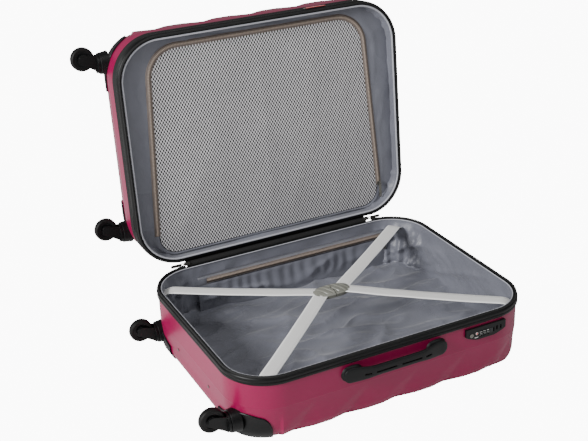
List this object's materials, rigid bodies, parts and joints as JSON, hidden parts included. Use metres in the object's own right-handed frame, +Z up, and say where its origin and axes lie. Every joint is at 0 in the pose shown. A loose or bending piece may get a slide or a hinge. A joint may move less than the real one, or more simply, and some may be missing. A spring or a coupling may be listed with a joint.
{
  "type": "suitcase",
  "caption": "Hard shell suitcase on swivel casters, lying open with a hinged lid, mesh divider, crossed straps, telescopic trolley, carry handles and a dial lock.",
  "frame": {"origin": "middle of the back half's flat outer face, on the floor", "axes": "+X along the case towards the top handle with the casters at -X, +Y towards the lid hinge, +Z up"},
  "size_m": [0.705, 0.6802, 0.6231],
  "materials": {
    "shell": "satin gloss moulded ABS",
    "rim": "satin black moulded rim",
    "zip_fabric": "woven black zip tape",
    "lining": "grey polyester lining",
    "zip_coil": "taupe nylon coil zip",
    "metal": "nickel plated zinc",
    "webbing": "pale woven webbing",
    "buckle": "grey acetal",
    "tube": "anodised aluminium",
    "black_plastic": "moulded black plastic",
    "mesh": "grey knitted mesh",
    "red": "woven red ribbon",
    "tyre": "black polyurethane tread"
  },
  "bodies": {
    "base": {"back_shell": "shell", "base_rim": "rim", "base_zip_tape": "zip_fabric", "base_lining": "lining", "hinge_strip": "zip_fabric", "pocket_panel": "lining", "pocket_zip_tape": "zip_coil", "straps_left": "webbing", "straps_right": "webbing", "buckle_plug": "buckle", "trolley_outer_tubes": "tube", "trolley_brackets": "black_plastic", "trolley_cup": "black_plastic", "trolley_screws": "metal", "side_handle_mounts": "black_plastic", "top_handle_mounts": "black_plastic", "lock_housing": "black_plastic", "zip_sliders": "metal", "caster_housing_1": "black_plastic", "caster_housing_2": "black_plastic"},
    "lid": {"front_shell": "shell", "lid_rim": "rim", "lid_zip_tape": "zip_fabric", "lid_lining": "lining", "lid_border": "lining", "panel_zip_tape": "zip_coil", "red_tag": "red", "caster_housing_3": "black_plastic", "caster_housing_4": "black_plastic"},
    "mesh_panel": {"mesh_panel": "mesh"},
    "panel_slider": {"panel_slider": "metal"},
    "panel_pull": {"panel_pull": "metal"},
    "pocket_slider": {"pocket_slider": "metal"},
    "pocket_pull": {"pocket_pull": "metal"},
    "zip_pull_left": {"zip_pull_left": "metal"},
    "zip_pull_right": {"zip_pull_right": "metal"},
    "buckle_socket": {"buckle_socket": "buckle"},
    "trolley_lower": {"trolley_mid_tubes": "tube"},
    "trolley_upper": {"trolley_inner_tubes": "tube", "trolley_grip": "black_plastic"},
    "trolley_button": {"trolley_button": "black_plastic"},
    "side_handle": {"side_handle_grip": "black_plastic"},
    "top_handle": {"top_handle_grip": "black_plastic"},
    "lock_dial_1": {"lock_dial_1": "black_plastic"},
    "lock_dial_2": {"lock_dial_2": "black_plastic"},
    "lock_dial_3": {"lock_dial_3": "black_plastic"},
    "lock_button": {"lock_button": "black_plastic"},
    "key_cylinder": {"key_cylinder": "metal"},
    "caster_1": {"caster_fork_1": "black_plastic"},
    "wheel_1": {"wheel_hub_1": "black_plastic", "tyre_1": "tyre"},
    "caster_2": {"caster_fork_2": "black_plastic"},
    "wheel_2": {"wheel_hub_2": "black_plastic", "tyre_2": "tyre"},
    "caster_3": {"caster_fork_3": "black_plastic"},
    "wheel_3": {"wheel_hub_3": "black_plastic", "tyre_3": "tyre"},
    "caster_4": {"caster_fork_4": "black_plastic"},
    "wheel_4": {"wheel_hub_4": "black_plastic", "tyre_4": "tyre"}
  },
  "joints": [
    {"name": "lid_hinge", "type": "hinge", "parent": "base", "child": "lid", "pos_m": [0, 0.243, 0.141], "axis": [-1, 0, 0], "range_deg": [-95, 85]},
    {"name": "mesh_panel_fold", "type": "hinge", "parent": "lid", "child": "mesh_panel", "pos_m": [0, 0.26916, 0.15778], "axis": [1, 0, 0], "range_deg": [0, 85]},
    {"name": "zip_pull_left_swing", "type": "hinge", "parent": "base", "child": "zip_pull_left", "pos_m": [-0.227, 0.243, 0.141], "axis": [0, 1, 0], "range_deg": [-80, 80]},
    {"name": "zip_pull_right_swing", "type": "hinge", "parent": "base", "child": "zip_pull_right", "pos_m": [0.223, 0.243, 0.141], "axis": [0, 1, 0], "range_deg": [-80, 80]},
    {"name": "pocket_zip_slide", "type": "slide", "parent": "base", "child": "pocket_slider", "axis": [-1, 0, 0], "range_m": [0, 0.4]},
    {"name": "pocket_pull_swing", "type": "hinge", "parent": "pocket_slider", "child": "pocket_pull", "pos_m": [0.245, 0.2136, 0.103], "axis": [0, 1, 0], "range_deg": [-45, 80]},
    {"name": "panel_zip_slide", "type": "slide", "parent": "lid", "child": "panel_slider", "axis": [-0.0606, 0.087, 0.9944], "range_m": [0, 0.28]},
    {"name": "panel_pull_swing", "type": "hinge", "parent": "panel_slider", "child": "panel_pull", "pos_m": [0.2646, 0.26657, 0.20619], "axis": [0, -0.9962, 0.0872], "range_deg": [-80, 25]},
    {"name": "buckle_release", "type": "slide", "parent": "base", "child": "buckle_socket", "axis": [1, 0, 0], "range_m": [0, 0.018]},
    {"name": "trolley_lower_slide", "type": "slide", "parent": "base", "child": "trolley_lower", "axis": [1, 0, 0], "range_m": [0, 0.21]},
    {"name": "trolley_upper_slide", "type": "slide", "parent": "trolley_lower", "child": "trolley_upper", "axis": [1, 0, 0], "range_m": [0, 0.21]},
    {"name": "trolley_button_press", "type": "slide", "parent": "trolley_upper", "child": "trolley_button", "axis": [-1, 0, 0], "range_m": [0, 0.003], "stiffness_N_per_m": 800},
    {"name": "side_handle_pull", "type": "slide", "parent": "base", "child": "side_handle", "axis": [0, -1, 0], "range_m": [0, 0.009], "stiffness_N_per_m": 600},
    {"name": "top_handle_pull", "type": "slide", "parent": "base", "child": "top_handle", "axis": [1, 0, 0], "range_m": [0, 0.009], "stiffness_N_per_m": 600},
    {"name": "dial_1_turn", "type": "hinge", "parent": "base", "child": "lock_dial_1", "pos_m": [0.183, -0.238, 0.102], "axis": [1, 0, 0], "continuous": true},
    {"name": "dial_2_turn", "type": "hinge", "parent": "base", "child": "lock_dial_2", "pos_m": [0.191, -0.238, 0.102], "axis": [1, 0, 0], "continuous": true},
    {"name": "dial_3_turn", "type": "hinge", "parent": "base", "child": "lock_dial_3", "pos_m": [0.199, -0.238, 0.102], "axis": [1, 0, 0], "continuous": true},
    {"name": "lock_button_slide", "type": "slide", "parent": "base", "child": "lock_button", "axis": [1, 0, 0], "range_m": [0, 0.003], "stiffness_N_per_m": 300},
    {"name": "key_turn", "type": "hinge", "parent": "base", "child": "key_cylinder", "pos_m": [0.162, -0.237, 0.102], "axis": [0, 1, 0], "range_deg": [0, 90]},
    {"name": "caster_1_swivel", "type": "hinge", "parent": "base", "child": "caster_1", "pos_m": [-0.318, -0.181, 0.038], "axis": [-1, 0, 0], "continuous": true},
    {"name": "wheel_1_spin", "type": "hinge", "parent": "caster_1", "child": "wheel_1", "pos_m": [-0.35, -0.181, 0.052], "axis": [0, 1, 0], "continuous": true},
    {"name": "caster_2_swivel", "type": "hinge", "parent": "base", "child": "caster_2", "pos_m": [-0.318, 0.181, 0.038], "axis": [-1, 0, 0], "continuous": true},
    {"name": "wheel_2_spin", "type": "hinge", "parent": "caster_2", "child": "wheel_2", "pos_m": [-0.35, 0.181, 0.052], "axis": [0, 1, 0], "continuous": true},
    {"name": "caster_3_swivel", "type": "hinge", "parent": "lid", "child": "caster_3", "pos_m": [-0.318, 0.35101, 0.19379], "axis": [-1, 0, 0], "continuous": true},
    {"name": "wheel_3_spin", "type": "hinge", "parent": "caster_3", "child": "wheel_3", "pos_m": [-0.35, 0.35223, 0.20773], "axis": [0, -0.9962, 0.0872], "continuous": true},
    {"name": "caster_4_swivel", "type": "hinge", "parent": "lid", "child": "caster_4", "pos_m": [-0.318, 0.38256, 0.55441], "axis": [-1, 0, 0], "continuous": true},
    {"name": "wheel_4_spin", "type": "hinge", "parent": "caster_4", "child": "wheel_4", "pos_m": [-0.35, 0.38378, 0.56836], "axis": [0, -0.9962, 0.0872], "continuous": true}
  ]
}
